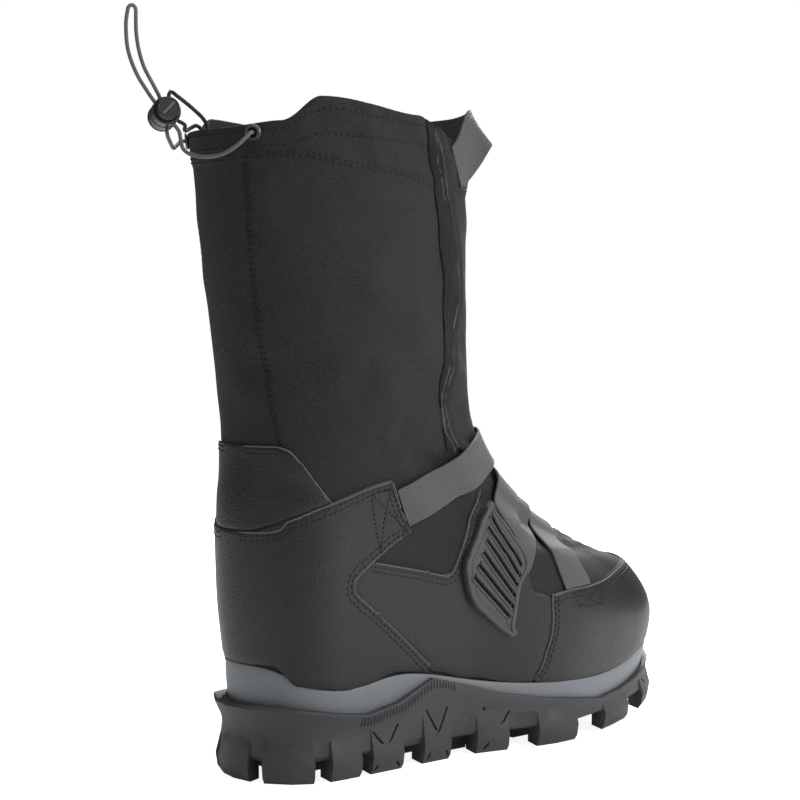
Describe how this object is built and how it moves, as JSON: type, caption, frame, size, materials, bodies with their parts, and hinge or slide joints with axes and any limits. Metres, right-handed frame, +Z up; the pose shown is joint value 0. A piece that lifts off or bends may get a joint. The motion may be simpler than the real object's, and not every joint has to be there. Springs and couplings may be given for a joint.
{
  "type": "winter overshoe",
  "caption": "Tall insulated winter overshoe for the right foot, with a lugged rubber sole, webbing straps over the instep and a drawcord collar.",
  "frame": {"origin": "on the floor under the middle of the heel, on the heel's tread", "axes": "+Z up, +X to the toe, +Y to the inner side of the foot"},
  "size_m": [0.3834, 0.1266, 0.4318],
  "materials": {
    "textile": "matte twill",
    "leatherette": "satin grain",
    "midsole_rubber": "satin",
    "outsole_rubber": "matte",
    "insole_felt": "felt",
    "webbing": "woven polyester",
    "tab_rubber": "satin",
    "metal": "dark satin",
    "lock_plastic": "satin",
    "cord": "braided"
  },
  "bodies": {
    "boot": {"upper": "textile", "insole": "insole_felt", "midsole": "midsole_rubber", "outsole": "outsole_rubber", "heel_panel": "leatherette", "ankle_patch": "leatherette", "toe_cap": "leatherette", "quarter_outer": "leatherette", "quarter_inner": "leatherette", "front_flap": "textile", "pull_tab": "tab_rubber", "strap_ankle": "webbing", "strap_upper_leg": "webbing", "strap_lower_leg": "webbing", "strap_toe": "webbing", "keeper_upper": "webbing", "keeper_lower": "webbing", "pull_loop": "webbing", "ring_upper": "metal", "ring_lower": "metal", "eyelet_near": "metal", "eyelet_far": "metal", "lock_barrel": "lock_plastic", "cord_near": "cord", "cord_far": "cord", "cord_loop": "cord", "tether_upper": "cord", "tether_lower": "cord"},
    "button": {"lock_button": "lock_plastic"}
  },
  "joints": [
    {"name": "button_press", "type": "slide", "parent": "boot", "child": "button", "axis": [0.322, 0.9231, -0.21], "range_m": [0, 0.0035], "stiffness_N_per_m": 300}
  ]
}
